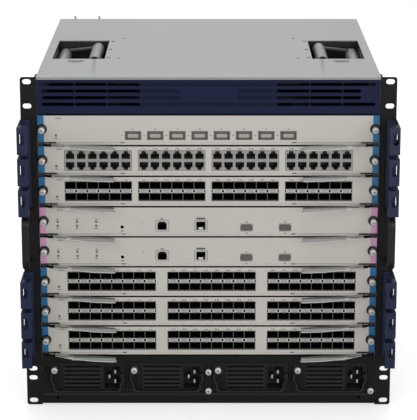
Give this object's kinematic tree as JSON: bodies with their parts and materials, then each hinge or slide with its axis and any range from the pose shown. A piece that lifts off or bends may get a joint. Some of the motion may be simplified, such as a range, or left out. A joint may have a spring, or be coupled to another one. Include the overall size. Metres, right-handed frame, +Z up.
{
  "type": "modular chassis switch",
  "caption": "Ten-unit rack chassis with slide-in horizontal network cards, black power modules below, a rear fan tray, cable guides on the ears and lifting bails in the top",
  "frame": {"origin": "on the underside, under the middle of the overall width and depth", "axes": "+X to the right seen from the front, +Y from the front to the back, +Z up"},
  "size_m": [0.4844, 0.5286, 0.4482],
  "materials": {
    "cover_paint": "light grey powder coat",
    "face_paint": "warm light grey paint",
    "navy_paint": "dark navy paint",
    "black_paint": "black powder coat",
    "zinc_steel": "bright zinc-plated sheet",
    "lever_steel": "satin silver",
    "bail_steel": "satin silver tube",
    "board_green": "green circuit board with ports and chips",
    "navy_plastic": "dark navy moulded plastic",
    "black_plastic": "black moulded plastic",
    "handle_black": "black painted strap"
  },
  "bodies": {
    "chassis": {"chassis_shell": "zinc_steel", "top_cover": "cover_paint", "card_cage": "black_paint", "midplane": "board_green", "vent_panel": "navy_paint", "ear_right": "black_paint", "side_handle_right": "handle_black", "upper_cable_guide_right": "navy_plastic", "lower_cable_guide_right": "navy_plastic", "ear_left": "black_paint", "side_handle_left": "handle_black", "upper_cable_guide_left": "navy_plastic", "lower_cable_guide_left": "navy_plastic"},
    "card_1": {"card_1_face": "face_paint", "card_1_board": "board_green"},
    "card_1_lever_right": {"card_1_lever_right": "lever_steel"},
    "card_1_lever_left": {"card_1_lever_left": "lever_steel"},
    "card_2": {"card_2_face": "face_paint", "card_2_board": "board_green"},
    "card_2_lever_right": {"card_2_lever_right": "lever_steel"},
    "card_2_lever_left": {"card_2_lever_left": "lever_steel"},
    "card_3": {"card_3_face": "face_paint", "card_3_board": "board_green"},
    "card_3_lever_right": {"card_3_lever_right": "lever_steel"},
    "card_3_lever_left": {"card_3_lever_left": "lever_steel"},
    "card_4": {"card_4_face": "face_paint", "card_4_board": "board_green"},
    "card_4_lever_right": {"card_4_lever_right": "lever_steel"},
    "card_4_lever_left": {"card_4_lever_left": "lever_steel"},
    "card_5": {"card_5_face": "face_paint", "card_5_board": "board_green"},
    "card_5_lever_right": {"card_5_lever_right": "lever_steel"},
    "card_5_lever_left": {"card_5_lever_left": "lever_steel"},
    "card_6": {"card_6_face": "face_paint", "card_6_board": "board_green"},
    "card_6_lever_right": {"card_6_lever_right": "lever_steel"},
    "card_6_lever_left": {"card_6_lever_left": "lever_steel"},
    "card_7": {"card_7_face": "face_paint", "card_7_board": "board_green"},
    "card_7_lever_right": {"card_7_lever_right": "lever_steel"},
    "card_7_lever_left": {"card_7_lever_left": "lever_steel"},
    "card_8": {"card_8_face": "face_paint", "card_8_board": "board_green"},
    "card_8_lever_right": {"card_8_lever_right": "lever_steel"},
    "card_8_lever_left": {"card_8_lever_left": "lever_steel"},
    "power_module_1": {"power_module_1": "black_paint"},
    "power_module_1_bail": {"power_module_1_bail": "black_plastic"},
    "power_module_2": {"power_module_2": "black_paint"},
    "power_module_2_bail": {"power_module_2_bail": "black_plastic"},
    "power_module_3": {"power_module_3": "black_paint"},
    "power_module_3_bail": {"power_module_3_bail": "black_plastic"},
    "power_module_4": {"power_module_4": "black_paint"},
    "power_module_4_bail": {"power_module_4_bail": "black_plastic"},
    "lifting_bail_right": {"lifting_bail_right": "bail_steel"},
    "lifting_bail_left": {"lifting_bail_left": "bail_steel"},
    "fan_tray": {"fan_tray": "zinc_steel"},
    "fan_rotor_1": {"fan_rotor_1": "black_plastic"},
    "fan_rotor_2": {"fan_rotor_2": "black_plastic"},
    "fan_rotor_3": {"fan_rotor_3": "black_plastic"},
    "fan_rotor_4": {"fan_rotor_4": "black_plastic"}
  },
  "joints": [
    {"name": "card_1_slide", "type": "slide", "parent": "chassis", "child": "card_1", "axis": [0, -1, 0], "range_m": [0, 0.36]},
    {"name": "card_1_lever_right_hinge", "type": "hinge", "parent": "card_1", "child": "card_1_lever_right", "pos_m": [0.204, -0.21525, 0.35624], "axis": [0, 0, 1], "range_deg": [0, 55]},
    {"name": "card_1_lever_left_hinge", "type": "hinge", "parent": "card_1", "child": "card_1_lever_left", "pos_m": [-0.204, -0.21525, 0.35624], "axis": [0, 0, -1], "range_deg": [0, 55]},
    {"name": "card_2_slide", "type": "slide", "parent": "chassis", "child": "card_2", "axis": [0, -1, 0], "range_m": [0, 0.36]},
    {"name": "card_2_lever_right_hinge", "type": "hinge", "parent": "card_2", "child": "card_2_lever_right", "pos_m": [0.204, -0.21525, 0.31552], "axis": [0, 0, 1], "range_deg": [0, 55]},
    {"name": "card_2_lever_left_hinge", "type": "hinge", "parent": "card_2", "child": "card_2_lever_left", "pos_m": [-0.204, -0.21525, 0.31552], "axis": [0, 0, -1], "range_deg": [0, 55]},
    {"name": "card_3_slide", "type": "slide", "parent": "chassis", "child": "card_3", "axis": [0, -1, 0], "range_m": [0, 0.36]},
    {"name": "card_3_lever_right_hinge", "type": "hinge", "parent": "card_3", "child": "card_3_lever_right", "pos_m": [0.204, -0.21525, 0.2748], "axis": [0, 0, 1], "range_deg": [0, 55]},
    {"name": "card_3_lever_left_hinge", "type": "hinge", "parent": "card_3", "child": "card_3_lever_left", "pos_m": [-0.204, -0.21525, 0.2748], "axis": [0, 0, -1], "range_deg": [0, 55]},
    {"name": "card_4_slide", "type": "slide", "parent": "chassis", "child": "card_4", "axis": [0, -1, 0], "range_m": [0, 0.36]},
    {"name": "card_4_lever_right_hinge", "type": "hinge", "parent": "card_4", "child": "card_4_lever_right", "pos_m": [0.204, -0.21525, 0.23408], "axis": [0, 0, 1], "range_deg": [0, 55]},
    {"name": "card_4_lever_left_hinge", "type": "hinge", "parent": "card_4", "child": "card_4_lever_left", "pos_m": [-0.204, -0.21525, 0.23408], "axis": [0, 0, -1], "range_deg": [0, 55]},
    {"name": "card_5_slide", "type": "slide", "parent": "chassis", "child": "card_5", "axis": [0, -1, 0], "range_m": [0, 0.36]},
    {"name": "card_5_lever_right_hinge", "type": "hinge", "parent": "card_5", "child": "card_5_lever_right", "pos_m": [0.204, -0.21525, 0.19336], "axis": [0, 0, 1], "range_deg": [0, 55]},
    {"name": "card_5_lever_left_hinge", "type": "hinge", "parent": "card_5", "child": "card_5_lever_left", "pos_m": [-0.204, -0.21525, 0.19336], "axis": [0, 0, -1], "range_deg": [0, 55]},
    {"name": "card_6_slide", "type": "slide", "parent": "chassis", "child": "card_6", "axis": [0, -1, 0], "range_m": [0, 0.36]},
    {"name": "card_6_lever_right_hinge", "type": "hinge", "parent": "card_6", "child": "card_6_lever_right", "pos_m": [0.204, -0.21525, 0.15264], "axis": [0, 0, 1], "range_deg": [0, 55]},
    {"name": "card_6_lever_left_hinge", "type": "hinge", "parent": "card_6", "child": "card_6_lever_left", "pos_m": [-0.204, -0.21525, 0.15264], "axis": [0, 0, -1], "range_deg": [0, 55]},
    {"name": "card_7_slide", "type": "slide", "parent": "chassis", "child": "card_7", "axis": [0, -1, 0], "range_m": [0, 0.36]},
    {"name": "card_7_lever_right_hinge", "type": "hinge", "parent": "card_7", "child": "card_7_lever_right", "pos_m": [0.204, -0.21525, 0.11192], "axis": [0, 0, 1], "range_deg": [0, 55]},
    {"name": "card_7_lever_left_hinge", "type": "hinge", "parent": "card_7", "child": "card_7_lever_left", "pos_m": [-0.204, -0.21525, 0.11192], "axis": [0, 0, -1], "range_deg": [0, 55]},
    {"name": "card_8_slide", "type": "slide", "parent": "chassis", "child": "card_8", "axis": [0, -1, 0], "range_m": [0, 0.36]},
    {"name": "card_8_lever_right_hinge", "type": "hinge", "parent": "card_8", "child": "card_8_lever_right", "pos_m": [0.204, -0.21525, 0.0712], "axis": [0, 0, 1], "range_deg": [0, 55]},
    {"name": "card_8_lever_left_hinge", "type": "hinge", "parent": "card_8", "child": "card_8_lever_left", "pos_m": [-0.204, -0.21525, 0.0712], "axis": [0, 0, -1], "range_deg": [0, 55]},
    {"name": "power_module_1_slide", "type": "slide", "parent": "chassis", "child": "power_module_1", "axis": [0, -1, 0], "range_m": [0, 0.34]},
    {"name": "power_module_1_bail_hinge", "type": "hinge", "parent": "power_module_1", "child": "power_module_1_bail", "pos_m": [-0.161, -0.21425, 0.042], "axis": [-1, 0, 0], "range_deg": [0, 90]},
    {"name": "power_module_2_slide", "type": "slide", "parent": "chassis", "child": "power_module_2", "axis": [0, -1, 0], "range_m": [0, 0.34]},
    {"name": "power_module_2_bail_hinge", "type": "hinge", "parent": "power_module_2", "child": "power_module_2_bail", "pos_m": [-0.0555, -0.21425, 0.042], "axis": [-1, 0, 0], "range_deg": [0, 90]},
    {"name": "power_module_3_slide", "type": "slide", "parent": "chassis", "child": "power_module_3", "axis": [0, -1, 0], "range_m": [0, 0.34]},
    {"name": "power_module_3_bail_hinge", "type": "hinge", "parent": "power_module_3", "child": "power_module_3_bail", "pos_m": [0.0555, -0.21425, 0.042], "axis": [-1, 0, 0], "range_deg": [0, 90]},
    {"name": "power_module_4_slide", "type": "slide", "parent": "chassis", "child": "power_module_4", "axis": [0, -1, 0], "range_m": [0, 0.34]},
    {"name": "power_module_4_bail_hinge", "type": "hinge", "parent": "power_module_4", "child": "power_module_4_bail", "pos_m": [0.161, -0.21425, 0.042], "axis": [-1, 0, 0], "range_deg": [0, 90]},
    {"name": "lifting_bail_right_hinge", "type": "hinge", "parent": "chassis", "child": "lifting_bail_right", "pos_m": [0.2, -0.01525, 0.42466], "axis": [0, 1, 0], "range_deg": [0, 80]},
    {"name": "lifting_bail_left_hinge", "type": "hinge", "parent": "chassis", "child": "lifting_bail_left", "pos_m": [-0.2, -0.01525, 0.42466], "axis": [0, -1, 0], "range_deg": [0, 80]},
    {"name": "fan_tray_slide", "type": "slide", "parent": "chassis", "child": "fan_tray", "axis": [0, 1, 0], "range_m": [0, 0.12]},
    {"name": "fan_rotor_1_spin", "type": "hinge", "parent": "fan_tray", "child": "fan_rotor_1", "pos_m": [-0.101, 0.20075, 0.33558], "axis": [0, 1, 0], "continuous": true},
    {"name": "fan_rotor_2_spin", "type": "hinge", "parent": "fan_tray", "child": "fan_rotor_2", "pos_m": [0.101, 0.20075, 0.33558], "axis": [0, 1, 0], "continuous": true},
    {"name": "fan_rotor_3_spin", "type": "hinge", "parent": "fan_tray", "child": "fan_rotor_3", "pos_m": [-0.101, 0.20075, 0.15958], "axis": [0, 1, 0], "continuous": true},
    {"name": "fan_rotor_4_spin", "type": "hinge", "parent": "fan_tray", "child": "fan_rotor_4", "pos_m": [0.101, 0.20075, 0.15958], "axis": [0, 1, 0], "continuous": true}
  ]
}
